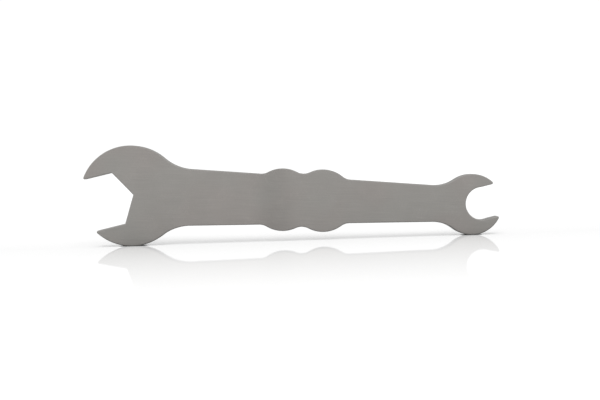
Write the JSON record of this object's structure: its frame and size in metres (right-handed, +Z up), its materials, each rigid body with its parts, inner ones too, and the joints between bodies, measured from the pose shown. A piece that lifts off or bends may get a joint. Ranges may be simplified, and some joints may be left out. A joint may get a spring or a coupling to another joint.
{
  "type": "double open-end plate wrench",
  "caption": "Flat steel plate wrench with a hexagonal open jaw at one end, a round-bottomed open jaw at the other and finger swells on a tapered shank.",
  "frame": {"origin": "centre of the bounding box on the ground that the two heads stand on", "axes": "+X along the ground from the large jaw's head to the small one's, +Y through the plate's thickness, away from the viewer, +Z up"},
  "size_m": [0.1898, 0.005, 0.0459],
  "materials": {
    "plate_steel": "satin, tumbled"
  },
  "bodies": {
    "root": {"wrench_plate": "plate_steel"}
  },
  "joints": []
}
